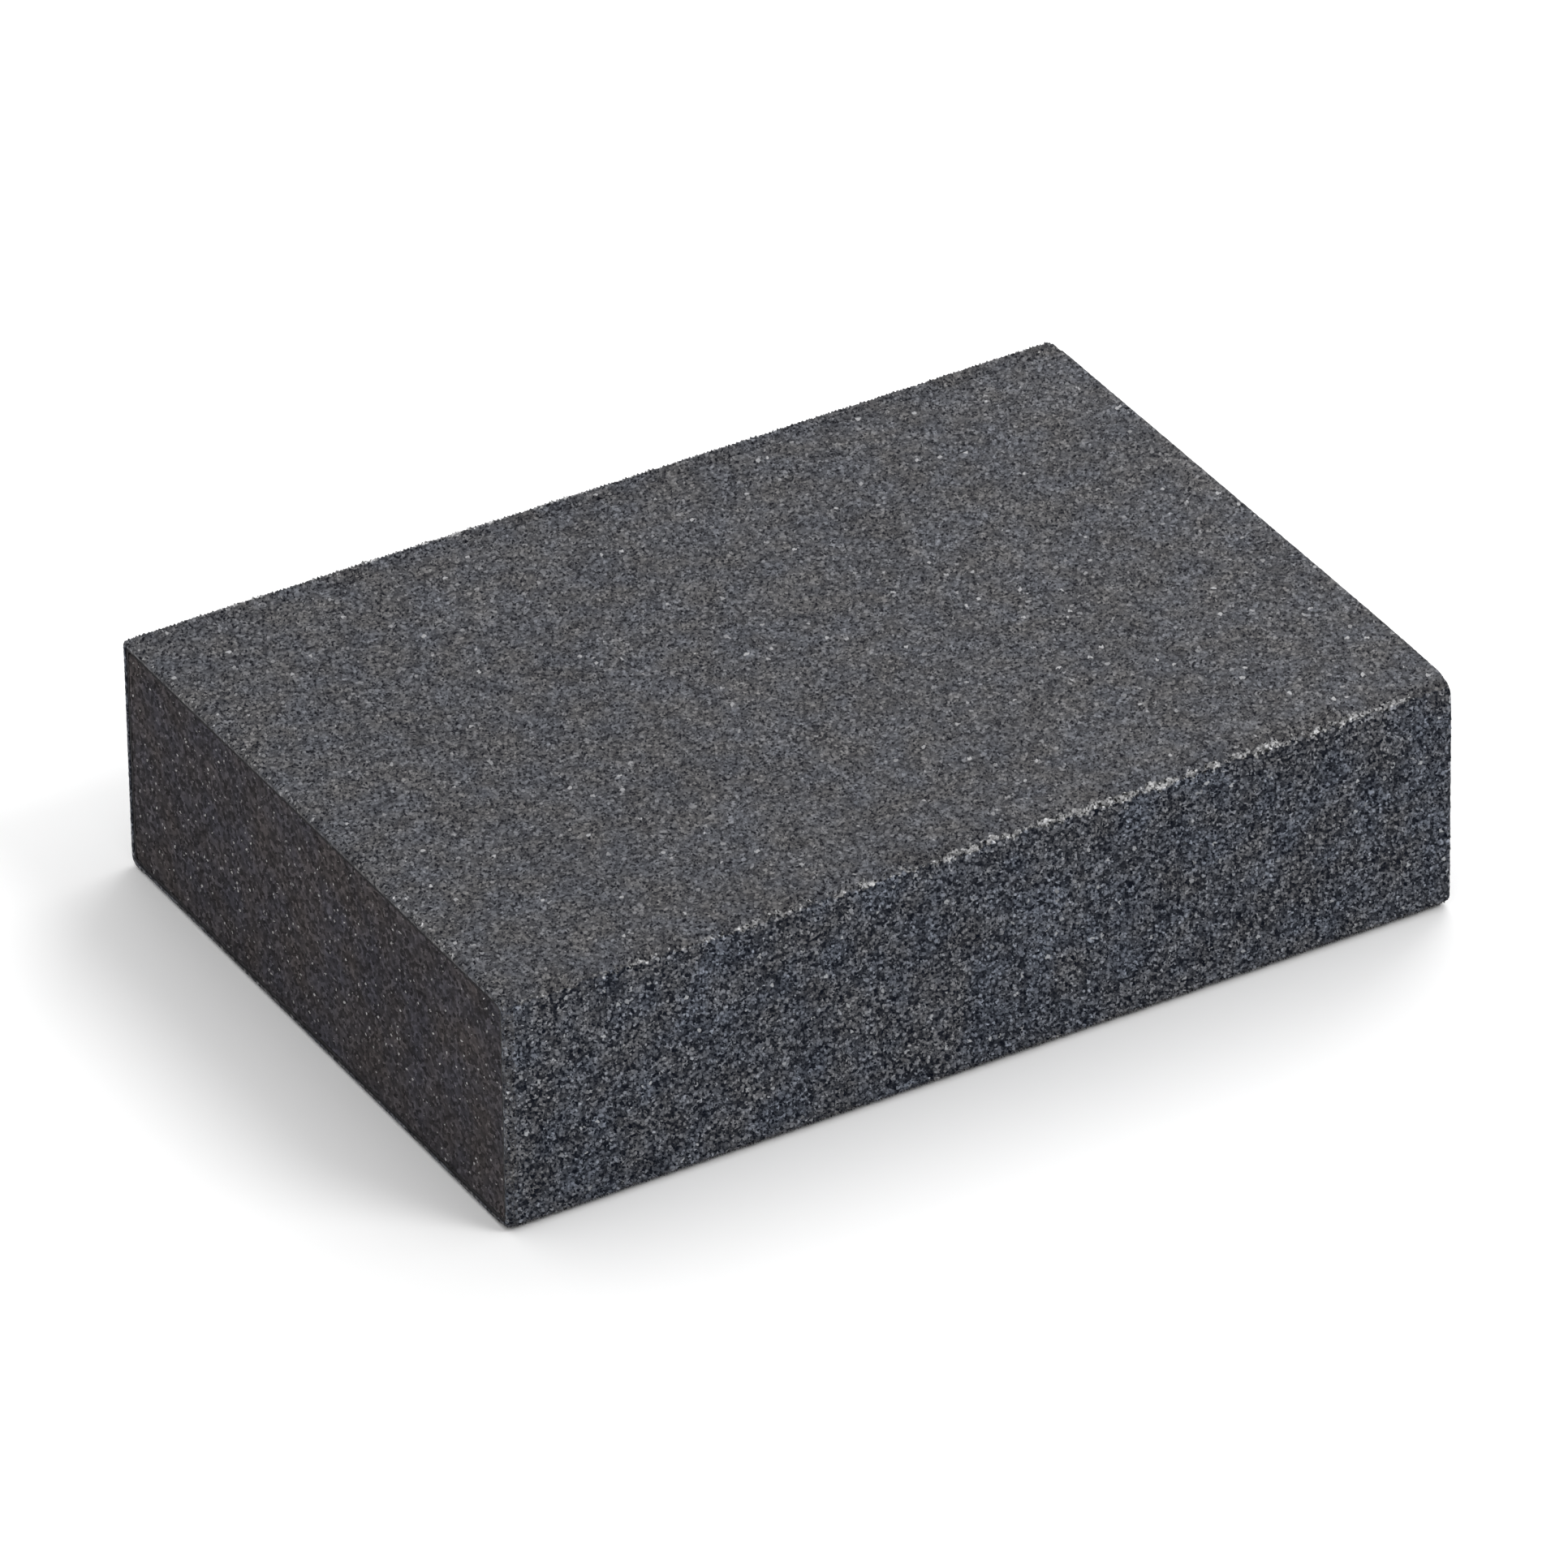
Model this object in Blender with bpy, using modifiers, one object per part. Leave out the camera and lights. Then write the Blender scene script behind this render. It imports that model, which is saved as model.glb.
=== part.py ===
"""A flexible sanding block: a foam core with coated abrasive on its two large faces and two long sides.

The block lies flat, with its length along X, its width along Y and its height along Z. The origin is the
centre of its underside. Each abrasive layer is a bond coat, which holds the grains to the foam, under a
grit coat, which is the grains and the resin over them. The side layers go on last: they wrap round the
long edges and end in a lip on each large face. Every layer is cut flush with the foam at the two ends,
which are bare.
"""

import math

import bmesh
import bpy

MM = 0.001

# Overall size of the block, over its grit.
LENGTH = 100 * MM
WIDTH = 70 * MM
HEIGHT = 25 * MM

# Layers, from the outside in.
GRIT_THICKNESS = 0.6 * MM
BOND_THICKNESS = 0.2 * MM
LAYER_GAP = 0.3 * MM

# Long edges, and how far the side layers reach from the block's side onto a large face.
EDGE_RADIUS = 1.5 * MM
LEAST_RADIUS = 0.1 * MM
EDGE_SEGMENTS = 6
CORE_EDGE_SEGMENTS = 2
SIDE_LIP = 2.2 * MM

# Depth of each layer's outer surface below the block's own surface.
GRIT_DEPTH = 0.0
BOND_DEPTH = GRIT_THICKNESS + LAYER_GAP
CORE_DEPTH = BOND_DEPTH + BOND_THICKNESS + LAYER_GAP

HALF_TURN = math.pi

# Material: colour, roughness and metallic value.
FOAM_LOOK = ((0.046, 0.042, 0.045), 0.95, 0.0)
BOND_LOOK = ((0.018, 0.017, 0.019), 0.6, 0.0)
FACE_GRIT_LOOK = ((0.098, 0.098, 0.102), 0.55, 0.0)
SIDE_GRIT_LOOK = ((0.062, 0.067, 0.077), 0.5, 0.0)


def clear_scene():
    for item in list(bpy.data.objects):
        bpy.data.objects.remove(item, do_unlink=True)


def make_collection(name):
    collection = bpy.data.collections.new(name)
    bpy.context.scene.collection.children.link(collection)
    return collection


def make_material(name, look):
    color, roughness, metallic = look
    material = bpy.data.materials.new(name)
    material.use_nodes = True
    shader = material.node_tree.nodes["Principled BSDF"]
    shader.inputs["Base Color"].default_value = (*color, 1.0)
    shader.inputs["Roughness"].default_value = roughness
    shader.inputs["Metallic"].default_value = metallic
    return material


def make_frame(name, collection):
    """The empty at the centre of the underside that every piece is parented to."""
    frame = bpy.data.objects.new(name, None)
    frame.empty_display_size = HEIGHT
    collection.objects.link(frame)
    return frame


def add_piece(name, mesh, collection, frame, material):
    piece = bpy.data.objects.new(name, mesh)
    piece.parent = frame
    collection.objects.link(piece)
    if not mesh.materials:
        mesh.materials.append(material)
    return piece


def make_box(name, size, centre):
    """A mesh box of this size, from the cube primitive."""
    bpy.ops.mesh.primitive_cube_add(size=1.0)
    cube = bpy.context.object
    mesh = cube.data
    mesh.name = name
    bpy.data.objects.remove(cube, do_unlink=True)
    for vertex in mesh.vertices:
        vertex.co = [place + share * side for place, share, side in zip(centre, vertex.co, size)]
    return mesh


def open_faces(mesh, unwanted):
    """Removes each face for which unwanted(normal) is true, which leaves an open surface."""
    cage = bmesh.new()
    cage.from_mesh(mesh)
    cage.normal_update()
    gone = [face for face in cage.faces if unwanted(face.normal)]
    bmesh.ops.delete(cage, geom=gone, context="FACES")
    cage.to_mesh(mesh)
    cage.free()


def radius_at(depth):
    """The radius of a long edge this far below the block's surface."""
    return max(EDGE_RADIUS - depth, LEAST_RADIUS)


def mark_long_edges(mesh):
    """Gives the edges that run along X a bevel weight of 1."""
    weights = mesh.attributes.new("bevel_weight_edge", "FLOAT", "EDGE")
    for edge in mesh.edges:
        start, end = (mesh.vertices[index].co for index in edge.vertices)
        if abs(start.x - end.x) > LENGTH / 2:
            weights.data[edge.index].value = 1.0


def round_long_edges(piece, radius, segments):
    bevel = piece.modifiers.new("long_edges", "BEVEL")
    bevel.width = radius
    bevel.segments = segments
    bevel.limit_method = "WEIGHT"
    bevel.harden_normals = True


def make_core(collection, frame, material):
    """The foam block inside the layers, as long as they are."""
    size = (LENGTH, WIDTH - 2 * CORE_DEPTH, HEIGHT - 2 * CORE_DEPTH)
    mesh = make_box("foam_core", size, (0, 0, HEIGHT / 2))
    mark_long_edges(mesh)
    core = add_piece("foam_core", mesh, collection, frame, material)
    round_long_edges(core, radius_at(CORE_DEPTH), CORE_EDGE_SEGMENTS)


def make_face_layers(layer, depth, thickness, collection, frame, material):
    """The sheets of one layer on the top and the bottom, between the lips of the side layers."""
    width = WIDTH - 2 * (SIDE_LIP + LAYER_GAP)
    centre = (0, 0, HEIGHT / 2 - depth - thickness / 2)
    mesh = make_box(f"face_{layer}", (LENGTH, width, thickness), centre)
    for side, turn in (("top", 0.0), ("bottom", HALF_TURN)):
        sheet = add_piece(f"{side}_{layer}", mesh, collection, frame, material)
        sheet.location.z = HEIGHT / 2
        sheet.rotation_euler.x = turn


def make_side_layers(layer, depth, thickness, collection, frame, material):
    """The sheets of one layer on the front and the back, wrapped round the two long edges of their side."""
    reach = SIDE_LIP - depth
    size = (LENGTH, reach, HEIGHT - 2 * depth)
    centre = (0, -WIDTH / 2 + depth + reach / 2, 0)
    mesh = make_box(f"side_{layer}", size, centre)
    open_faces(mesh, lambda normal: abs(normal.x) > 0.5 or normal.y > 0.5)
    mark_long_edges(mesh)
    mesh.shade_smooth()
    for side, turn in (("front", 0.0), ("back", HALF_TURN)):
        sheet = add_piece(f"{side}_{layer}", mesh, collection, frame, material)
        sheet.location.z = HEIGHT / 2
        sheet.rotation_euler.z = turn
        round_long_edges(sheet, radius_at(depth), EDGE_SEGMENTS)
        wall = sheet.modifiers.new("thickness", "SOLIDIFY")
        wall.thickness = thickness
        wall.offset = -1.0
        wall.use_even_offset = True


def main():
    clear_scene()
    parts = make_collection("Sanding block")
    frame = make_frame("underside_centre", parts)
    foam = make_material("foam", FOAM_LOOK)
    bond = make_material("bond_resin", BOND_LOOK)
    face_grit = make_material("face_grit", FACE_GRIT_LOOK)
    side_grit = make_material("side_grit", SIDE_GRIT_LOOK)
    make_core(parts, frame, foam)
    make_face_layers("bond_coat", BOND_DEPTH, BOND_THICKNESS, parts, frame, bond)
    make_side_layers("bond_coat", BOND_DEPTH, BOND_THICKNESS, parts, frame, bond)
    make_face_layers("grit_coat", GRIT_DEPTH, GRIT_THICKNESS, parts, frame, face_grit)
    make_side_layers("grit_coat", GRIT_DEPTH, GRIT_THICKNESS, parts, frame, side_grit)


main()
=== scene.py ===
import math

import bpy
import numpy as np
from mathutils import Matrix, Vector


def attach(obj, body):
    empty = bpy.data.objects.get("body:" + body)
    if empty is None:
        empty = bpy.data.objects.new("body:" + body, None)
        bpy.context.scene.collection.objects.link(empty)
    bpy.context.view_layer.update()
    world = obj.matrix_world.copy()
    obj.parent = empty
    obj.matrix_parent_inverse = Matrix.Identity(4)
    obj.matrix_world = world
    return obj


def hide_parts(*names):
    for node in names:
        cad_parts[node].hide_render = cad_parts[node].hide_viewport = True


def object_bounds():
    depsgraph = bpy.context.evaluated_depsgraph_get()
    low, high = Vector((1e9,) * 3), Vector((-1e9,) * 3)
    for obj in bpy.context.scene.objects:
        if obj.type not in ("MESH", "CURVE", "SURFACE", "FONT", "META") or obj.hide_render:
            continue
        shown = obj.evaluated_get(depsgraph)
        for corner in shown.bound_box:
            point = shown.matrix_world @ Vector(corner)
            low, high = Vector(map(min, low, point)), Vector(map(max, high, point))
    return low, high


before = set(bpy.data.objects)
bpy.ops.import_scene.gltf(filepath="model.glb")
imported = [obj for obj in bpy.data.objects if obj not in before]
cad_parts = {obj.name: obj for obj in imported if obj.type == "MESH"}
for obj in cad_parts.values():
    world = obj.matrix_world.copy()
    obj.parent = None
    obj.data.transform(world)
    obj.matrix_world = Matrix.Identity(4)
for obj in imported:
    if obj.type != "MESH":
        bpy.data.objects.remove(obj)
cad_low, cad_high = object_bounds()

# The looks of a flexible sanding block: dark abrasive grit on a foam core with bare ends.
#
# Every coat is a closed shell whose outer surface is a lattice of faceted grains. Lengths are in metres, the
# block lies along X, and the camera is in front of it on the left, where the photograph was taken from.

MM = 0.001
TINY = 1e-12

# Size of the block, from the CAD model.
LENGTH = cad_high.x - cad_low.x
WIDTH = cad_high.y - cad_low.y
HEIGHT = cad_high.z - cad_low.z
MIDDLE = Vector((0.0, 0.0, HEIGHT / 2))

# Layers, as depths below the block's outer surface.
GRIT_BACK = 0.62 * MM
BOND_BACK = 0.95 * MM
OVERLAP = 0.04 * MM

# How far a side coat's lip reaches from the side onto a large face. The large face's coat is tucked under the
# lip: how far, how deep, and the length of the slope down to there.
LIP = 2.2 * MM
TUCK = 0.35 * MM
TUCK_DEPTH = 0.42 * MM
TUCK_SLOPE = 0.35 * MM
FLAT_WIDTH = WIDTH - 2 * (LIP - TUCK)

# Radii of the long edges, at the top and the bottom of each side.
FRONT_RADII = (1.45 * MM, 1.58 * MM)
BACK_RADII = (0.80 * MM, 1.3 * MM)

# The rounding of each coat's cut edges at its left and its right end: how far in it reaches and how deep it
# is. The bottom and the back are made as the top and the front and then turned, so their left is the block's
# right.
CUTS = {
    "top": ((0.6 * MM, 0.30 * MM), (0.6 * MM, 0.15 * MM)),
    "bottom": ((0.6 * MM, 0.20 * MM), (0.7 * MM, 0.30 * MM)),
    "front": ((1.1 * MM, 0.40 * MM), (0.9 * MM, 0.30 * MM)),
    "back": ((0.9 * MM, 0.25 * MM), (0.9 * MM, 0.20 * MM)),
}
# How much deeper the rounding is at the two ends of a side's upper long edge, and how far in that reaches.
CORNERS = {"front": (0.0, 0.25 * MM), "back": (0.0, 0.0)}
CORNER_REACH = 1.8 * MM
# The share of its depth that the backs of the grit coat and of the bond coat have.
CUT_SHARE_GRIT_BACK = 0.45
CUT_SHARE_BOND_BACK = 0.5
# Where the smooth backs have points near the ends, as shares of its reach.
CUT_STATIONS = (0.0, 0.1, 0.3, 0.6, 1.0)
# Where the look of a cut edge starts and is at its full strength, as shares of its reach.
CUT_LOOK = (1.2, 0.7)

# The right end was cut a little askew: most at the front, outwards at the bottom and inwards at the top. The
# left end leans in a little at the bottom.
RIGHT_END_TILT = 0.5 * MM
TILT_PIVOT = 0.3
LEFT_END_TILT = 0.12 * MM
# The powers at which a tilt falls off along the block and across it.
TILT_FALL_ALONG = 3
TILT_FALL_ACROSS = 8

# Seeds of the random numbers: the bond coat's and the grit coat's.
SEEDS = {"top": (21, 31), "bottom": (22, 32), "front": (41, 51), "back": (42, 52)}
FOAM_SEED = 11

# Grains. Pitch is the size of the lattice's cells. Peak and valley are the greatest depths of a grain's peak
# and of the points round it, and relief is the share of a valley's depth that varies. The peaks' depths have
# a beta distribution. At the cut ends a valley has only a share of its depth.
GRAIN_JITTER = 0.13
PEAK_BETA = (1.2, 2.2)
FACE_GRAINS = {"pitch": 0.5 * MM, "peak": 0.15 * MM, "valley": 0.30 * MM, "relief": 0.4}
SIDE_GRAINS = {"pitch": 0.46 * MM, "peak": 0.17 * MM, "valley": 0.37 * MM, "relief": 0.35}
CUT_VALLEY = 0.5

# Ridge where the side coats turn onto the large faces. Its line is this share of the way round the long
# edge.
RIDGE_SHARE = 0.52
RIDGE_WANDER = 0.45 * MM
RIDGE_WANDER_PERIOD = 0.6 * MM
RIDGE_JITTER = 0.12 * MM
RIDGE_WIDTH = 0.44 * MM
RIDGE_HEIGHT = 0.2 * MM
# The ridge's wear mask lightens it with worn grit together with a painted highlight.
RIDGE_WEAR_AND_HIGHLIGHT = 1.6
# Where it is highest and its painted highlight brightest, how far it falls off from there, how high it then
# is, and the part at the right end over which it fades out. The lower long edge's is this much of the upper
# one's.
RIDGE_MIDDLE = LENGTH * 0.64
RIDGE_REACH = LENGTH * 0.48
RIDGE_ENDS = 0.42
RIDGE_TAIL = 9 * MM
LOWER_RIDGE = 0.25
# Its patches, and the lumps in them.
PATCH_PERIODS = (2.2 * MM, 0.5 * MM)
PATCH_GAIN = 1.5
PATCH_OFFSET = 0.15
PATCH_LEAST = 0.1
LUMP_LEAST = 0.45

# Edge of the side coats' lips: how far it wanders, and how wide the strip is that wanders with it. The look
# of the large faces ends between these distances below the ridge's line.
LIP_WANDER = 0.5 * MM
LIP_WANDER_PERIOD = 0.9 * MM
LIP_LOOSE = 0.7 * MM
LIP_LOOK = (0.30 * MM, 0.12 * MM)

# How much each coat's two cut edges are worn and lit by a painted highlight, and how much a side coat's have
# the look of the large faces.
CUT_WEAR_AND_HIGHLIGHT = {"top": (0.17, 0.1), "bottom": (0.1, 0.17), "front": (0.1, 0.0), "back": (0.1, 0.1)}
CUT_LIP = {"front": (0.5, 0.2), "back": (0.2, 0.5)}

# Bond coats: the distance between the points of their sheets, and how far their ragged ends are set back.
BOND_STEP = 0.3 * MM
BOND_RECESS = (0.04 * MM, 0.14 * MM)

# Foam. The pores' depth has a beta distribution, and the walls between them have a share of that depth.
FOAM_BACK = 1.16 * MM
FOAM_CORNER = 0.5 * MM
PORE_PITCH = 0.4 * MM
PORE_JITTER = 0.16
PORE_DEPTH = 0.3 * MM
PORE_BETA = (1.5, 1.7)
PORE_WALL = 0.2
END_RECESS = 0.06 * MM

# Maps for baking, as shares of their height. A coat's outside is at the bottom, and its hidden faces are in
# bands above it. The foam's two ends are at the bottom, and its sides above them.
MAP_OUTSIDE = 0.86
MAP_FIRST_BAND = 0.87
MAP_BAND_STEP = 0.02
MAP_BAND_HEIGHT = 0.01
FOAM_MAP_END = 0.34
FOAM_MAP_END_STEP = 0.36
FOAM_MAP_SIDES = (0.74, 0.98)

# Looks of the foam and of the bond coats. Shades are slow changes of tone: their size and their strength.
FOAM_CELL = 0.42 * MM
FOAM_SPREAD = 0.8
FOAM_SHADES = (9 * MM, 0.06)
FOAM_HUE_SIZE = 6 * MM
FOAM_COOL = (0.0395, 0.0378, 0.0455)
FOAM_WARM = (0.0468, 0.0408, 0.0415)
FOAM_SPECK_CELL = 0.2 * MM
FOAM_SPECK_RARE = 0.983
FOAM_SPECK = (0.45, 0.44, 0.44)
FOAM_ROUGHNESS = 0.95
FOAM_GLOSS = 0.15
BOND_DARK = (0.022, 0.021, 0.023)
BOND_LIGHT = (0.034, 0.032, 0.035)
BOND_HUE_SIZE = 4 * MM
BOND_SHADES = (0.5 * MM, 0.25)
BOND_ROUGHNESS = (0.5, 0.75)
BOND_ROUGHNESS_SIZE = 1 * MM
BOND_GLOSS = 0.2

# Looks of the grit. Each cell is one grain. Its tone is a number between the two tones, and varies further by
# e to the power of plus or minus the spread. The gap and pit values are the tones of painted shade in the
# gaps round the grains and in the pits between them. The colour runs from cool to warm in slow patches, the
# tint is added to all of it, and the rarest grains glint. Roughness runs from smooth to rough.
# The worn colour lightens worn grit and also paints a highlight on the ridge and on the cut edges.
WORN_AND_HIGHLIGHT_COLOR = (0.39, 0.39, 0.395)
GAP_SHADE_RANGE = (0.45, 0.8)
PIT_SHADE_SIZE = 0.28 * MM
PIT_SHADE_RANGE = (0.34, 0.48)
CLUMP_SIZE = 0.9 * MM
GRIT_SHADES = (12 * MM, 0.07)
GRIT_HUE_SIZE = 4 * MM
FACE_LOOK = {
    "cell": 0.36 * MM,
    "tones": (0.42, 1.58),
    "spread": 0.35,
    "gap_shade": 0.5,
    "pit_shade": 0.02,
    "clumps": 0.02,
    "cool": (0.0905, 0.0940, 0.1030),
    "warm": (0.0965, 0.0940, 0.0925),
    "tint": (0.0, 0.0003, 0.0035),
    "rare": 0.993,
    "glint": (0.36, 0.36, 0.37),
    "smooth": 0.35,
    "rough": 0.8,
    "gloss": 0.12,
}
# The sides' look is the same grit with painted light: its wider spread of tones and its darker gaps and pits
# are painted shading of light that grazes the sides, and its bluer colours and tint are a painted reflection
# of the sky.
SIDE_LOOK = {
    "cell": 0.36 * MM,
    "tones": (0.05, 1.95),
    "spread": 0.6,
    "gap_shade": 0.2,
    "pit_shade": 0.0,
    "clumps": 0.02,
    "cool": (0.1075, 0.1172, 0.1375),
    "warm": (0.1170, 0.1172, 0.1212),
    "tint": (0.0, 0.0015, 0.0065),
    "rare": 0.985,
    "glint": (0.42, 0.43, 0.45),
    "smooth": 0.35,
    "rough": 0.8,
    "gloss": 0.08,
}

# Ranges that most of a noise's values lie in, for changes of tone and for changes of colour.
NOISE_RANGE = (0.3, 0.7)
HUE_RANGE = (0.35, 0.65)

# Ragged edge of a mask: how much noise is added to it, where the sum turns from out of it to in it, and the
# size of the noise for each mask.
RAGGED_NOISE = 1.6
RAGGED_RANGE = (1.1, 1.35)
LIP_RAGGED = 0.25 * MM
WEAR_AND_HIGHLIGHT_RAGGED = 0.4 * MM

# Fine relief: the size of its noise, its height and its strength.
GRIT_BUMP = (0.12 * MM, 0.03 * MM, 0.6)
FOAM_BUMP = (0.15 * MM, 0.05 * MM, 0.7)
BOND_BUMP = (0.2 * MM, 0.03 * MM, 0.6)
BUMP_DETAIL = 3.0

# Camera: the angles it looks from and its roll, in degrees, its distance from the block's middle, and how far
# it is moved aside and up from there.
CAMERA_AZIMUTH = -120.90
CAMERA_ELEVATION = 33.466
CAMERA_ROLL = -0.295
CAMERA_DISTANCE = 1257.5 * MM
CAMERA_SIDEWAYS = -0.345 * MM
CAMERA_UPWARDS = -1.0 * MM
CAMERA_SENSOR = 36.0
CAMERA_LENS = 315.0
CAMERA_CLIP = (0.05, 200.0)

# Floor and light.
FLOOR_REACH = 60.0
FLOOR_COLOR = (0.92, 0.92, 0.92)
SKY_COLOR = (1.0, 1.0, 1.0)
SKY_STRENGTH = 0.56
# Name, azimuth, elevation, brightness on a surface that faces it, and its width in degrees.
SUNS = (
    ("overhead", 80, 78, 0.36, 90),
    ("key", -52, 46, 0.36, 24),
    ("fill", 185, 35, 0.05, 60),
)
# A square lamp close by: its place, the length of its sides and its power in watts.
BOX_LIGHT_PLACE = (0.20, 0.14, 0.24)
BOX_LIGHT_SIZE = 0.2
BOX_LIGHT_POWER = 0.33


def look_direction(azimuth, elevation):
    """The unit vector from the block towards this azimuth and elevation, in degrees."""
    turn, rise = math.radians(azimuth), math.radians(elevation)
    return Vector((math.cos(rise) * math.cos(turn), math.cos(rise) * math.sin(turn), math.sin(rise)))


def link(thing):
    """Puts an object in the scene and returns it."""
    bpy.context.scene.collection.objects.link(thing)
    return thing


def make_camera():
    back = look_direction(CAMERA_AZIMUTH, CAMERA_ELEVATION)
    right = Vector((0, 0, 1)).cross(back).normalized()
    up = back.cross(right)
    roll = math.radians(CAMERA_ROLL)
    rolled_right = math.cos(roll) * right + math.sin(roll) * up
    rolled_up = math.cos(roll) * up - math.sin(roll) * right
    data = bpy.data.cameras.new("camera")
    data.sensor_width = CAMERA_SENSOR
    data.lens = CAMERA_LENS
    data.clip_start, data.clip_end = CAMERA_CLIP
    camera = link(bpy.data.objects.new("camera", data))
    place = MIDDLE + back * CAMERA_DISTANCE
    place += rolled_right * CAMERA_SIDEWAYS + rolled_up * CAMERA_UPWARDS
    turn = Matrix((rolled_right, rolled_up, back)).transposed().to_4x4()
    camera.matrix_world = Matrix.Translation(place) @ turn
    bpy.context.scene.camera = camera


# Numbers over the surface.


def fade(value, start, end):
    """0 up to start, 1 from end on, and smooth in between. End may be the lower of the two."""
    share = np.clip((value - start) / (end - start), 0.0, 1.0)
    return share * share * (3.0 - 2.0 * share)


def wander(u, period, rng):
    """A random line along the length: numbers from 0 to 1 that change over this period."""
    knots = round(LENGTH / period) + 2
    return np.interp(u / period, np.arange(knots), rng.random(knots))


def cut_drop(u, cuts, share=1.0):
    """How far a surface falls towards the cut ends: a quarter of an ellipse, or a share of its depth."""
    drop = np.zeros_like(u)
    for inward, (reach, depth) in zip((u, LENGTH - u), cuts):
        short = np.clip(1.0 - inward / reach, 0.0, 1.0)
        drop += share * depth * (1.0 - np.sqrt(1.0 - short**2))
    return drop


def cut_band(u, cuts, values):
    """A number for each cut edge, and 0 away from them."""
    start, end = CUT_LOOK
    band = np.zeros_like(u)
    for inward, (reach, _), value in zip((u, LENGTH - u), cuts, values):
        band += value * fade(inward, reach * start, reach * end)
    return band


# Profiles: the block's outline across its length.


def flat_profile(v):
    """Points across the top face, from its front edge, and their normals: arrays of y, z."""
    place = np.stack([v - FLAT_WIDTH / 2, np.full_like(v, HEIGHT)], axis=1)
    normal = np.stack([np.zeros_like(v), np.ones_like(v)], axis=1)
    return place, normal


class Wrap:
    """The profile round the front side, from the top lip's edge down to the bottom lip's."""

    def __init__(self, radii):
        self.radii = radii
        self.shelves = [LIP - radius for radius in radii]
        self.arcs = [radius * math.pi / 2 for radius in radii]
        self.upper = self.shelves[0] + self.arcs[0] + HEIGHT / 2 - radii[0]
        self.lower = self.shelves[1] + self.arcs[1] + HEIGHT / 2 - radii[1]
        self.width = self.upper + self.lower

    def halves(self, v):
        """For each half: which points are in it, how far they are from its lip's edge, and its number,
        which is 0 for the upper half and 1 for the lower."""
        above = v < self.upper
        return ((above, v, 0), (~above, self.width - v, 1))

    def __call__(self, v):
        """Points along the profile and their normals, as from flat_profile."""
        place = np.zeros((len(v), 2))
        normal = np.zeros((len(v), 2))
        for mine, s, half in self.halves(v):
            radius, shelf = self.radii[half], self.shelves[half]
            turn = np.clip((s - shelf) / radius, 0.0, math.pi / 2)
            down = radius * (1 - np.cos(turn)) + np.clip(s - shelf - self.arcs[half], 0.0, None)
            y = -WIDTH / 2 + LIP - np.minimum(s, shelf) - radius * np.sin(turn)
            z = HEIGHT - down if half == 0 else down
            up = np.cos(turn) if half == 0 else -np.cos(turn)
            place[mine] = np.stack([y, z], axis=1)[mine]
            normal[mine] = np.stack([-np.sin(turn), up], axis=1)[mine]
        return place, normal


# Meshes.


class Lattice:
    """A strip of triangles in rows, on which every third point is a grain's peak with six points round it.

    u runs along the rows from 0 to length, v across them from 0 to width. The first and last point of each
    row lie on the strip's straight ends.
    """

    def __init__(self, length, width, pitch, rng, jitter):
        columns = round(length / pitch * math.sqrt(3))
        rows = 2 * round(width / pitch)
        step = length / columns
        u, v, peak, sizes = [], [], [], []
        for row in range(rows + 1):
            odd = row % 2 == 1
            index = np.arange(columns if odd else columns + 1)
            along = (index + 0.5 * odd) * step
            kind = (index - row // 2 - row) % 3 == 0
            if odd:
                along = np.concatenate([[0.0], along, [length]])
                kind = np.concatenate([[False], kind, [False]])
            sizes.append(len(along))
            u.append(along)
            v.append(np.full(len(along), width * row / rows))
            peak.append(kind)
        self.u = np.minimum(np.concatenate(u), length)
        self.v = np.minimum(np.concatenate(v), width)
        self.starts = np.concatenate([[0], np.cumsum(sizes)])
        self.size = (length, width)
        close = step / 4
        at_end = (self.u < close) | (self.u > length - close)
        at_side = (self.v < close) | (self.v > width - close)
        self.peak = np.concatenate(peak) & ~at_end & ~at_side
        self.cut = at_end
        reach = jitter * pitch
        self.u += np.where(at_end, 0.0, rng.uniform(-reach, reach, len(self.u)))
        self.v += np.where(at_side, 0.0, rng.uniform(-reach, reach, len(self.u)))
        self.triangles = self.join_rows(rows, columns)

    def join_rows(self, rows, columns):
        """The triangles between each row and the next. Every other row is shifted by half a step."""
        found = []
        k = np.arange(columns)
        for row in range(rows):
            straight, shifted = (row, row + 1) if row % 2 == 0 else (row + 1, row)
            even, odd = self.starts[straight], self.starts[shifted] + 1
            near = np.stack([even + k, even + k + 1, odd + k], axis=1)
            far = np.stack([even + k[1:], odd + k[1:], odd + k[:-1]], axis=1)
            ends = np.array([[even, odd, odd - 1], [even + columns, odd + columns, odd + columns - 1]])
            made = np.concatenate([near, far, ends])
            found.append(made if row % 2 == 0 else made[:, ::-1])
        return np.concatenate(found)

    def row(self, number):
        """The points of one row. Row -1 is the last."""
        number %= len(self.starts) - 1
        return np.arange(self.starts[number], self.starts[number + 1])

    def row_ends(self):
        """The first and the last point of every row."""
        return self.starts[:-1], self.starts[1:] - 1

    def map_places(self):
        """Places on a UV map, from 0 to 1 both ways."""
        return np.stack([self.u / self.size[0], self.v / self.size[1]], axis=1)


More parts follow.
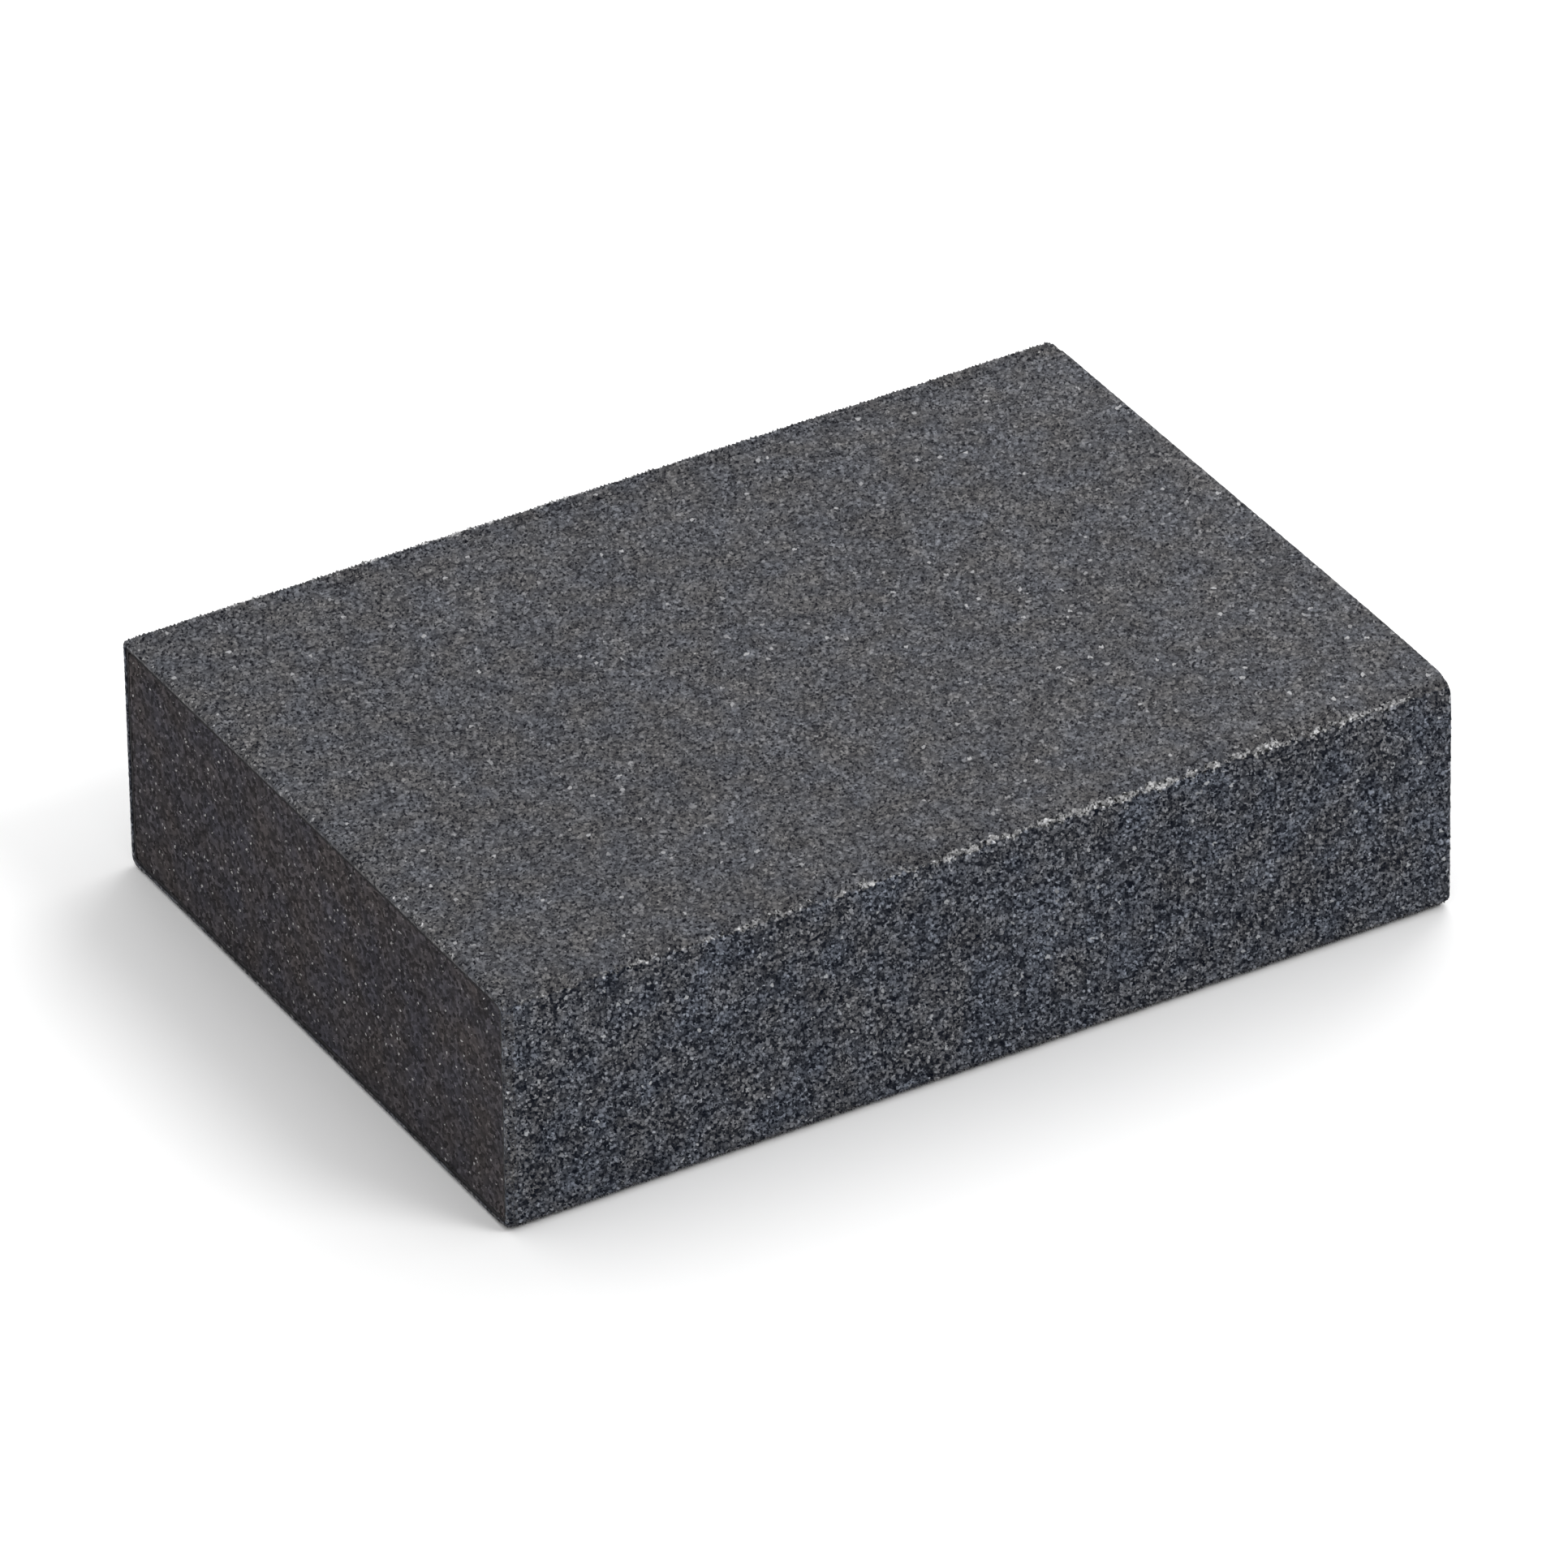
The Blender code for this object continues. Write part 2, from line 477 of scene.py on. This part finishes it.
def make_mesh(name, points, groups, bake_map=None):
    """A mesh of these points and faces. Each group is an array with one face a row. The bake map has a UV
    place for each corner of each face, group by group."""
    mesh = bpy.data.meshes.new(name)
    corners = np.concatenate([np.asarray(group).ravel() for group in groups]).astype(np.int32)
    counts = np.concatenate([np.full(len(group), len(group[0])) for group in groups])
    starts = np.concatenate([[0], np.cumsum(counts)[:-1]]).astype(np.int32)
    mesh.vertices.add(len(points))
    mesh.vertices.foreach_set("co", np.asarray(points, np.float32).ravel())
    mesh.loops.add(len(corners))
    mesh.loops.foreach_set("vertex_index", corners)
    mesh.polygons.add(len(starts))
    mesh.polygons.foreach_set("loop_start", starts)
    mesh.update(calc_edges=True)
    if bake_map is not None:
        flat = np.concatenate([np.asarray(group, np.float32).reshape(-1, 2) for group in bake_map])
        mesh.uv_layers.new(name="OFBake").uv.foreach_set("vector", flat.ravel())
    mesh.validate()
    return mesh


def add_piece(name, mesh, material, node):
    """Puts a mesh in the scene as the visual piece that stands for a CAD node."""
    piece = link(bpy.data.objects.new(name, mesh))
    mesh.materials.append(material)
    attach(piece, "root")
    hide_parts(node)
    return piece


def band_heights(number):
    """Where this band of hidden faces lies on a coat's bake map."""
    low = MAP_FIRST_BAND + MAP_BAND_STEP * number
    return low, low + MAP_BAND_HEIGHT


def band_map(quads, low, high):
    """UV places for a band of quads, side by side between these two heights."""
    edge = np.linspace(0.0, 1.0, len(quads) + 1)
    along = np.stack([edge[:-1], edge[1:], edge[1:], edge[:-1]], axis=1)
    up = np.broadcast_to([low, low, high, high], along.shape)
    return np.stack([along, up], axis=2)


def zip_rows(low, high, x):
    """Triangles between two rows of points, which needn't have the same number. x is each point's place
    along the length."""
    found = []
    i = j = 0
    while i < len(low) - 1 or j < len(high) - 1:
        high_done = j == len(high) - 1
        if high_done or (i < len(low) - 1 and x[low[i + 1]] <= x[high[j + 1]]):
            found.append((low[i + 1], low[i], high[j]))
            i += 1
        else:
            found.append((high[j], high[j + 1], low[i]))
            j += 1
    return np.array(found)


def zip_map(triangles, high, x, bottom, top):
    """UV places for the triangles between two rows of points, between these two heights."""
    up = np.where(np.isin(triangles, high), top, bottom)
    return np.stack([x[triangles] / LENGTH + 0.5, up], axis=2)


def grid_quads(grid):
    """The quads of a grid of point numbers."""
    quads = np.stack([grid[:-1, :-1], grid[1:, :-1], grid[1:, 1:], grid[:-1, 1:]], axis=2)
    return quads.reshape(-1, 4)


def rim_quads(outer, inner):
    """The quads between two lines of as many point numbers."""
    return np.stack([outer[:-1], outer[1:], inner[1:], inner[:-1]], axis=1)


def smooth_sheet(profile, v, back, cuts, share):
    """A grid of points on the inside of a coat: one row for each place v, one column for each station."""
    shares = np.array(CUT_STATIONS)
    (left, _), (right, _) = cuts
    stations = np.concatenate([shares * left, (LENGTH - shares * right)[::-1]])
    place, normal = profile(v)
    rows = []
    for u, drop in zip(stations, cut_drop(stations, cuts, share)):
        ring = place - normal * (back + drop)
        rows.append(np.column_stack([np.full(len(v), u - LENGTH / 2), ring]))
    return np.stack(rows, axis=1).reshape(-1, 3), len(stations)


def make_foot(u, v, profile, cuts):
    """Points on the inside of a coat, under the points of its outside's first or last row."""
    place, normal = profile(np.full(len(u), v))
    depth = GRIT_BACK + cut_drop(u, cuts, CUT_SHARE_GRIT_BACK)
    return np.column_stack([u - LENGTH / 2, place - normal * depth[:, None]])


def make_shell(name, sheet, profile, depth, cuts):
    """A closed shell. Its outside is the lattice laid on the profile, this far below it. Its inside is
    smooth, and ends in a foot under the first and the last row of the outside."""
    place, normal = profile(sheet.v)
    outside = np.column_stack([sheet.u - LENGTH / 2, place - normal * depth[:, None]])
    first, last = sheet.row_ends()
    near, far = sheet.row(0), sheet.row(-1)
    inside, width = smooth_sheet(profile, sheet.v[first][1:-1], GRIT_BACK, cuts, CUT_SHARE_GRIT_BACK)
    near_points = make_foot(sheet.u[near], 0.0, profile, cuts)
    far_points = make_foot(sheet.u[far], sheet.size[1], profile, cuts)
    points = np.concatenate([outside, inside, near_points, far_points])
    x = points[:, 0]

    grid = len(outside) + np.arange(len(inside)).reshape(-1, width)
    near_foot = len(outside) + len(inside) + np.arange(len(near))
    far_foot = near_foot[-1] + 1 + np.arange(len(far))
    left = np.concatenate([near_foot[:1], grid[:, 0], far_foot[:1]])
    right = np.concatenate([near_foot[-1:], grid[:, -1], far_foot[-1:]])
    quads = [
        grid_quads(grid),
        rim_quads(first, left),
        rim_quads(last[::-1], right[::-1]),
        rim_quads(near[::-1], near_foot[::-1]),
        rim_quads(far, far_foot),
    ]
    strips = [(zip_rows(near_foot, grid[0], x), grid[0]), (zip_rows(grid[-1], far_foot, x), far_foot)]

    bake_map = [sheet.map_places()[sheet.triangles] * (1.0, MAP_OUTSIDE)]
    for group in quads:
        bake_map.append(band_map(group, *band_heights(len(bake_map) - 1)))
    for strip, high in strips:
        bake_map.append(zip_map(strip, high, x, *band_heights(len(bake_map) - 1)))
    groups = [sheet.triangles, *quads, *(strip for strip, _ in strips)]
    return make_mesh(name, points, groups, bake_map)


def turn_to_side(mesh, side):
    """Turns a coat made for the top or the front to the bottom or the back, and its faces outwards."""
    if side == "bottom":
        to_middle = Matrix.Translation(MIDDLE)
        mesh.transform(to_middle @ Matrix.Rotation(math.pi, 4, "Y") @ to_middle.inverted())
    if side == "back":
        mesh.transform(Matrix.Rotation(math.pi, 4, "Z"))
    # A side's profile runs down from the top, so its faces are made facing inwards.
    if side in ("front", "back"):
        mesh.flip_normals()


def tilt_ends(mesh):
    """Moves the points near the ends along the length, so that the ends are a little askew."""
    flat = np.empty(len(mesh.vertices) * 3, np.float32)
    mesh.vertices.foreach_get("co", flat)
    place = flat.reshape(-1, 3)
    right = np.clip(place[:, 0] / LENGTH + 0.5, 0.0, 1.0) ** TILT_FALL_ALONG
    front = np.clip(0.5 - place[:, 1] / WIDTH, 0.0, 1.0) ** TILT_FALL_ACROSS
    height = place[:, 2] / HEIGHT
    place[:, 0] -= RIGHT_END_TILT * right * front * (height - TILT_PIVOT)
    left = np.clip(0.5 - place[:, 0] / LENGTH, 0.0, 1.0) ** TILT_FALL_ALONG
    place[:, 0] += LEFT_END_TILT * left * (1.0 - height)
    mesh.vertices.foreach_set("co", flat)
    mesh.update()


def set_mask(mesh, name, values):
    """Gives the mesh's first points a number each for the material to read. The others get 0."""
    full = np.zeros(len(mesh.vertices), np.float32)
    full[: len(values)] = values
    mesh.attributes.new(name, "FLOAT", "POINT").data.foreach_set("value", full)


def grain_depths(sheet, rng, grains):
    """Depth of each lattice point below the block's surface."""
    count = len(sheet.u)
    peaks = grains["peak"] * rng.beta(*PEAK_BETA, count)
    valleys = grains["valley"] * rng.uniform(1.0 - grains["relief"], 1.0, count)
    valleys = np.where(sheet.cut, valleys * CUT_VALLEY, valleys)
    return np.where(sheet.peak, peaks, valleys)


def make_face_grit(side, seed, material):
    rng = np.random.default_rng(seed)
    sheet = Lattice(LENGTH, FLAT_WIDTH, FACE_GRAINS["pitch"], rng, GRAIN_JITTER)
    cuts = CUTS[side]
    depth = grain_depths(sheet, rng, FACE_GRAINS) + cut_drop(sheet.u, cuts)
    inward = np.minimum(sheet.v, FLAT_WIDTH - sheet.v)
    depth = np.maximum(depth, fade(inward, TUCK + TUCK_SLOPE, TUCK) * TUCK_DEPTH)
    mesh = make_shell(f"{side}_grit", sheet, flat_profile, depth, cuts)
    set_mask(mesh, "wear_and_highlight", cut_band(sheet.u, cuts, CUT_WEAR_AND_HIGHLIGHT[side]))
    turn_to_side(mesh, side)
    tilt_ends(mesh)
    return add_piece(f"{side}_grit", mesh, material, f"{side}_grit_coat")


def make_ridge(side, sheet, wrap, depth, rng):
    """Raises the ragged ridge on the two long edges, and lets the lips' edges wander. Returns the masks of
    the wear with its painted highlight, and of the part between ridge and lip's edge, which has the look of
    the large faces."""
    count = len(sheet.u)
    masks = {"wear_and_highlight": np.zeros(count), "lip": np.zeros(count)}
    off_middle = np.abs(sheet.u - RIDGE_MIDDLE) / RIDGE_REACH
    along = RIDGE_ENDS + (1.0 - RIDGE_ENDS) * fade(off_middle, 1.0, 0.0)
    along *= fade(LENGTH - sheet.u, 0.0, RIDGE_TAIL)
    for mine, distance, half in wrap.halves(sheet.v):
        height = along * (1.0, LOWER_RIDGE)[half]
        line = wrap.shelves[half] + wrap.arcs[half] * RIDGE_SHARE
        line = line + RIDGE_WANDER * (wander(sheet.u, RIDGE_WANDER_PERIOD, rng) - 0.5)
        line = line + RIDGE_JITTER * rng.uniform(-1, 1, count)
        broad, fine = [wander(sheet.u, period, rng) for period in PATCH_PERIODS]
        patches = np.clip((broad + fine) / 2 * PATCH_GAIN - PATCH_OFFSET, PATCH_LEAST, 1.0)
        lumps = patches * rng.uniform(LUMP_LEAST, 1.0, count)
        shape = np.exp(-(((distance - line) / RIDGE_WIDTH) ** 2)) * lumps
        depth -= np.where(mine, RIDGE_HEIGHT * height * shape, 0.0)
        masks["wear_and_highlight"] += np.where(mine, RIDGE_WEAR_AND_HIGHLIGHT * height * shape, 0.0)
        masks["lip"] += np.where(mine, fade(distance, line + LIP_LOOK[0], line + LIP_LOOK[1]), 0.0)
        loose = fade(distance, LIP_LOOSE, 0.0) * mine
        shift = LIP_WANDER * (wander(sheet.u, LIP_WANDER_PERIOD, rng) - 0.5) * loose
        sheet.v += shift if half == 0 else -shift
    masks["lip"] = np.maximum(masks["lip"], cut_band(sheet.u, CUTS[side], CUT_LIP[side]))
    masks["wear_and_highlight"] = np.clip(masks["wear_and_highlight"] + cut_band(sheet.u, CUTS[side], CUT_WEAR_AND_HIGHLIGHT[side]), 0.0, 1.0)
    return masks


def corner_drop(side, sheet, wrap):
    """How much further a side coat falls where its upper long edge meets the cut ends."""
    off_edge = np.abs(sheet.v - wrap.shelves[0] - wrap.arcs[0] / 2)
    drop = np.zeros_like(sheet.u)
    for inward, depth in zip((sheet.u, LENGTH - sheet.u), CORNERS[side]):
        drop += depth * fade(inward, CORNER_REACH, 0.0) * fade(off_edge, wrap.arcs[0], 0.0)
    return drop


def make_side_grit(side, seed, wrap, material):
    rng = np.random.default_rng(seed)
    sheet = Lattice(LENGTH, wrap.width, SIDE_GRAINS["pitch"], rng, GRAIN_JITTER)
    depth = grain_depths(sheet, rng, SIDE_GRAINS) + cut_drop(sheet.u, CUTS[side])
    depth += corner_drop(side, sheet, wrap)
    bond_depth = GRIT_BACK - OVERLAP + cut_drop(sheet.u, CUTS[side], CUT_SHARE_GRIT_BACK)
    depth = np.minimum(depth, bond_depth)
    masks = make_ridge(side, sheet, wrap, depth, rng)
    mesh = make_shell(f"{side}_grit", sheet, wrap, depth, CUTS[side])
    for name, values in masks.items():
        set_mask(mesh, name, values)
    turn_to_side(mesh, side)
    tilt_ends(mesh)
    return add_piece(f"{side}_grit", mesh, material, f"{side}_grit_coat")


def make_bond(side, seed, profile, width, material):
    """The thin resin layer behind a grit coat. Only its ragged cut ends show."""
    rng = np.random.default_rng(seed)
    v = np.linspace(0.0, width, round(width / BOND_STEP) + 1)
    outer, columns = smooth_sheet(profile, v, GRIT_BACK - OVERLAP, CUTS[side], CUT_SHARE_GRIT_BACK)
    inner, _ = smooth_sheet(profile, v, BOND_BACK + OVERLAP, CUTS[side], CUT_SHARE_BOND_BACK)
    for sheet in (outer, inner):
        recess = rng.uniform(*BOND_RECESS, (2, len(v)))
        sheet[::columns, 0] += recess[0]
        sheet[columns - 1 :: columns, 0] -= recess[1]
    grid = np.arange(len(outer)).reshape(-1, columns)
    behind = grid + len(outer)
    groups = [
        grid_quads(grid)[:, ::-1],
        grid_quads(behind),
        rim_quads(grid[:, 0], behind[:, 0]),
        rim_quads(grid[::-1, -1], behind[::-1, -1]),
        rim_quads(grid[0, ::-1], behind[0, ::-1]),
        rim_quads(grid[-1], behind[-1]),
    ]
    mesh = make_mesh(f"{side}_bond", np.concatenate([outer, inner]), groups)
    turn_to_side(mesh, side)
    tilt_ends(mesh)
    return add_piece(f"{side}_bond", mesh, material, f"{side}_bond_coat")


def round_corners(place, half, radius):
    """Moves the points near the corners of a rectangle, so that its corners are round."""
    over = np.abs(place) - (half - radius)
    corner = (over > 0).all(axis=1)
    size = np.maximum(np.hypot(over[:, 0], over[:, 1]), TINY)
    moved = np.sign(place) * (half - radius + over * (over.max(axis=1) / size)[:, None])
    return np.where(corner[:, None], moved, place)


def make_foam(seed, material):
    """The foam block: long smooth sides, which the coats hide, and two ends full of small open cells."""
    rng = np.random.default_rng(seed)
    half = np.array([WIDTH / 2 - FOAM_BACK, HEIGHT / 2 - FOAM_BACK])
    points, groups, bake_map, rims = [], [], [], []
    count = 0
    for number, u in enumerate((0.0, LENGTH)):
        sheet = Lattice(2 * half[0], 2 * half[1], PORE_PITCH, rng, PORE_JITTER)
        size = len(sheet.u)
        place = round_corners(np.stack([sheet.u, sheet.v], axis=1) - half, half, FOAM_CORNER)
        pore = PORE_DEPTH * rng.beta(*PORE_BETA, size)
        wall = PORE_DEPTH * PORE_WALL * rng.uniform(0, 1, size)
        depth = np.where(sheet.peak, pore, wall) + END_RECESS
        x = u - LENGTH / 2 + (depth if number == 0 else -depth)
        points.append(np.column_stack([x, place[:, 0], place[:, 1] + HEIGHT / 2]))
        triangles = sheet.triangles + count
        groups.append(triangles[:, ::-1] if number == 0 else triangles)
        end_map = sheet.map_places()[groups[-1] - count] * (1.0, FOAM_MAP_END)
        bake_map.append(end_map + (0.0, FOAM_MAP_END_STEP * number))
        first, last = sheet.row_ends()
        rim = [sheet.row(0), last[1:-1], sheet.row(-1)[::-1], first[1:-1][::-1]]
        rims.append(np.concatenate(rim) + count)
        count += size
    near, far = rims
    sides = np.stack([near, np.roll(near, -1), np.roll(far, -1), far], axis=1)
    groups.append(sides)
    bake_map.append(band_map(sides, *FOAM_MAP_SIDES))
    mesh = make_mesh("foam_block", np.concatenate(points), groups, bake_map)
    tilt_ends(mesh)
    piece = add_piece("foam_block", mesh, material, "foam_core")
    return piece


# Materials.


class Nodes:
    """Short names for the making of one material's nodes."""

    def __init__(self, name):
        self.material = bpy.data.materials.new(name)
        self.material.use_nodes = True
        self.tree = self.material.node_tree
        self.shader = self.tree.nodes["Principled BSDF"]

    def add(self, kind, **settings):
        node = self.tree.nodes.new(kind)
        for key, value in settings.items():
            setattr(node, key, value)
        return node

    def set(self, socket, value):
        if isinstance(value, bpy.types.NodeSocket):
            self.tree.links.new(value, socket)
        else:
            socket.default_value = value

    def output(self, socket, value):
        self.set(self.shader.inputs[socket], value)

    def place(self):
        return self.add("ShaderNodeTexCoord").outputs["Object"]

    def mask(self, name):
        """A number that the mesh holds for each of its points."""
        return self.add("ShaderNodeAttribute", attribute_name=name).outputs["Fac"]

    def math(self, operation, *values):
        node = self.add("ShaderNodeMath", operation=operation)
        for socket, value in zip(node.inputs, values):
            self.set(socket, value)
        return node.outputs[0]

    def noise(self, vector, size, detail=2.0):
        node = self.add("ShaderNodeTexNoise")
        self.set(node.inputs["Vector"], vector)
        node.inputs["Scale"].default_value = 1.0 / size
        node.inputs["Detail"].default_value = detail
        return node.outputs["Fac"]

    def cells(self, vector, size):
        """Cells about this wide: three random numbers for each, and the distance from its centre."""
        node = self.add("ShaderNodeTexVoronoi", feature="F1")
        self.set(node.inputs["Vector"], vector)
        node.inputs["Scale"].default_value = 1.0 / size
        parts = self.add("ShaderNodeSeparateColor")
        self.set(parts.inputs[0], node.outputs["Color"])
        return *parts.outputs[:3], node.outputs["Distance"]

    def ramp(self, value, low, high, start=0.0, end=1.0):
        node = self.add("ShaderNodeMapRange")
        for name, number in zip(("From Min", "From Max", "To Min", "To Max"), (low, high, start, end)):
            node.inputs[name].default_value = number
        self.set(node.inputs["Value"], value)
        return node.outputs["Result"]

    def mix(self, factor, first, second):
        """A mix of two colours, whose sockets are the node's seventh and eighth."""
        node = self.add("ShaderNodeMix", data_type="RGBA")
        self.set(node.inputs[0], factor)
        for socket, value in zip(node.inputs[6:8], (first, second)):
            self.set(socket, value if isinstance(value, bpy.types.NodeSocket) else (*value, 1.0))
        return node.outputs[2]

    def blend(self, factor, first, second):
        """A mix of two numbers, whose sockets are the node's third and fourth."""
        node = self.add("ShaderNodeMix", data_type="FLOAT")
        self.set(node.inputs[0], factor)
        self.set(node.inputs[2], first)
        self.set(node.inputs[3], second)
        return node.outputs[0]

    def times(self, color, factor):
        """The colour with its brightness multiplied."""
        node = self.add("ShaderNodeVectorMath", operation="SCALE")
        self.set(node.inputs[0], color)
        self.set(node.inputs["Scale"], factor)
        return node.outputs[0]

    def plus(self, first, second):
        """The sum of two colours."""
        node = self.add("ShaderNodeVectorMath", operation="ADD")
        self.set(node.inputs[0], first)
        self.set(node.inputs[1], second)
        return node.outputs[0]

    def ragged(self, mask, place, size):
        """The mask with a ragged edge: grains of this size are either in it or out of it."""
        total = self.math("MULTIPLY_ADD", self.noise(place, size), RAGGED_NOISE, mask)
        return self.ramp(total, *RAGGED_RANGE)

    def bump(self, place, size, distance, strength):
        """Fine relief over the whole surface."""
        height = self.noise(place, size, BUMP_DETAIL)
        node = self.add("ShaderNodeBump")
        node.inputs["Strength"].default_value = strength
        node.inputs["Distance"].default_value = distance
        self.set(node.inputs["Height"], height)
        self.output("Normal", node.outputs[0])


def broad_tone(nodes, place, size, spread):
    """A slow change of tone over the surface."""
    return nodes.ramp(nodes.noise(place, size), *NOISE_RANGE, 1.0 - spread, 1.0 + spread)


def slow_hue(nodes, place, size, cool, warm):
    """A colour that runs from cool to warm in slow patches."""
    return nodes.mix(nodes.ramp(nodes.noise(place, size), *HUE_RANGE), cool, warm)


def grit_look(nodes, place, look):
    """Tone, colour and roughness of loose grains in resin."""
    red, green, blue, distance = nodes.cells(place, look["cell"])
    tone = nodes.math("EXPONENT", nodes.ramp(green, 0.0, 1.0, -look["spread"], look["spread"]))
    tone = nodes.math("MULTIPLY", tone, nodes.ramp(red, 0.0, 1.0, *look["tones"]))
    # Painted shade in the gaps round the grains and in the pits between them.
    tone = nodes.math("MULTIPLY", tone, nodes.ramp(distance, *GAP_SHADE_RANGE, 1.0, look["gap_shade"]))
    pit_shade_noise = nodes.noise(place, PIT_SHADE_SIZE, detail=1.0)
    tone = nodes.math("MULTIPLY", tone, nodes.ramp(pit_shade_noise, *PIT_SHADE_RANGE, look["pit_shade"], 1.0))
    tone = nodes.math("MULTIPLY", tone, broad_tone(nodes, place, CLUMP_SIZE, look["clumps"]))
    tone = nodes.math("MULTIPLY", tone, broad_tone(nodes, place, *GRIT_SHADES))
    shade = slow_hue(nodes, place, GRIT_HUE_SIZE, look["cool"], look["warm"])
    shade = nodes.plus(nodes.times(shade, tone), look["tint"])
    color = nodes.mix(nodes.ramp(blue, look["rare"], 1.0), shade, look["glint"])
    return tone, color, nodes.ramp(blue, 0.0, 1.0, look["rough"], look["smooth"])


def make_grit_material(name, look, lip_look):
    """The grit's material. Where the mesh's lip mask is set, it has the second look, if there is one."""
    nodes = Nodes(name)
    place = nodes.place()
    tone, color, roughness = grit_look(nodes, place, look)
    if lip_look:
        lip = nodes.ragged(nodes.mask("lip"), place, LIP_RAGGED)
        lip_tone, lip_color, lip_roughness = grit_look(nodes, place, lip_look)
        tone = nodes.blend(lip, tone, lip_tone)
        color = nodes.mix(lip, color, lip_color)
        roughness = nodes.blend(lip, roughness, lip_roughness)
    # Worn, lighter grit together with a painted highlight on the ridge and on the cut edges.
    wear_and_highlight = nodes.ragged(nodes.mask("wear_and_highlight"), place, WEAR_AND_HIGHLIGHT_RAGGED)
    color = nodes.mix(wear_and_highlight, color, nodes.times(WORN_AND_HIGHLIGHT_COLOR, tone))
    nodes.output("Base Color", color)
    nodes.output("Roughness", roughness)
    nodes.output("Specular IOR Level", look["gloss"])
    nodes.bump(place, *GRIT_BUMP)
    return nodes.material


def make_foam_material():
    nodes = Nodes("foam")
    place = nodes.place()
    red = nodes.cells(place, FOAM_CELL)[0]
    tone = nodes.math("EXPONENT", nodes.ramp(red, 0.0, 1.0, -FOAM_SPREAD, FOAM_SPREAD))
    tone = nodes.math("MULTIPLY", tone, broad_tone(nodes, place, *FOAM_SHADES))
    color = nodes.times(slow_hue(nodes, place, FOAM_HUE_SIZE, FOAM_COOL, FOAM_WARM), tone)
    speck = nodes.cells(place, FOAM_SPECK_CELL)[0]
    color = nodes.mix(nodes.ramp(speck, FOAM_SPECK_RARE, 1.0), color, FOAM_SPECK)
    nodes.output("Base Color", color)
    nodes.output("Roughness", FOAM_ROUGHNESS)
    nodes.output("Specular IOR Level", FOAM_GLOSS)
    nodes.bump(place, *FOAM_BUMP)
    return nodes.material


def make_bond_material():
    nodes = Nodes("bond_resin")
    place = nodes.place()
    shade = nodes.mix(nodes.noise(place, BOND_HUE_SIZE), BOND_DARK, BOND_LIGHT)
    nodes.output("Base Color", nodes.times(shade, broad_tone(nodes, place, *BOND_SHADES)))
    roughness = nodes.noise(place, BOND_ROUGHNESS_SIZE)
    nodes.output("Roughness", nodes.ramp(roughness, *NOISE_RANGE, *BOND_ROUGHNESS))
    nodes.output("Specular IOR Level", BOND_GLOSS)
    nodes.bump(place, *BOND_BUMP)
    return nodes.material


# Stage.


def make_floor():
    reach = FLOOR_REACH
    points = [(-reach, -reach, 0), (reach, -reach, 0), (reach, reach, 0), (-reach, reach, 0)]
    mesh = bpy.data.meshes.new("floor")
    mesh.from_pydata(points, [], [(0, 1, 2, 3)])
    floor = link(bpy.data.objects.new("floor", mesh))
    nodes = Nodes("floor")
    nodes.output("Base Color", (*FLOOR_COLOR, 1.0))
    nodes.output("Roughness", 1.0)
    nodes.output("Specular IOR Level", 0.0)
    mesh.materials.append(nodes.material)


def make_sun(name, azimuth, elevation, brightness, spread):
    """A distant soft light. Brightness is what it adds to a white surface that faces it."""
    data = bpy.data.lights.new(name, "SUN")
    data.energy = brightness * math.pi
    data.angle = math.radians(spread)
    sun = link(bpy.data.objects.new(name, data))
    sun.rotation_mode = "QUATERNION"
    sun.rotation_quaternion = look_direction(azimuth, elevation).to_track_quat("Z", "Y")


def make_box_light():
    data = bpy.data.lights.new("box_light", "AREA")
    data.size = BOX_LIGHT_SIZE
    data.energy = BOX_LIGHT_POWER
    box = link(bpy.data.objects.new("box_light", data))
    box.visible_camera = False
    box.location = BOX_LIGHT_PLACE
    box.rotation_mode = "QUATERNION"
    box.rotation_quaternion = (Vector(BOX_LIGHT_PLACE) - MIDDLE).to_track_quat("Z", "Y")


def make_lights():
    world = bpy.data.worlds.new("studio")
    world.use_nodes = True
    background = world.node_tree.nodes["Background"]
    background.inputs["Color"].default_value = (*SKY_COLOR, 1.0)
    background.inputs["Strength"].default_value = SKY_STRENGTH
    bpy.context.scene.world = world
    for sun in SUNS:
        make_sun(*sun)
    make_box_light()


def main():
    make_camera()
    bpy.context.scene.view_settings.view_transform = "Standard"
    face_grit = make_grit_material("face_grit", FACE_LOOK, None)
    side_grit = make_grit_material("side_grit", SIDE_LOOK, FACE_LOOK)
    bond = make_bond_material()
    make_foam(FOAM_SEED, make_foam_material())
    for side in ("top", "bottom"):
        bond_seed, grit_seed = SEEDS[side]
        make_bond(side, bond_seed, flat_profile, FLAT_WIDTH, bond)
        make_face_grit(side, grit_seed, face_grit)
    for side, radii in (("front", FRONT_RADII), ("back", BACK_RADII)):
        bond_seed, grit_seed = SEEDS[side]
        wrap = Wrap(radii)
        make_bond(side, bond_seed, wrap, wrap.width, bond)
        make_side_grit(side, grit_seed, wrap, side_grit)
    make_floor()
    make_lights()


main()
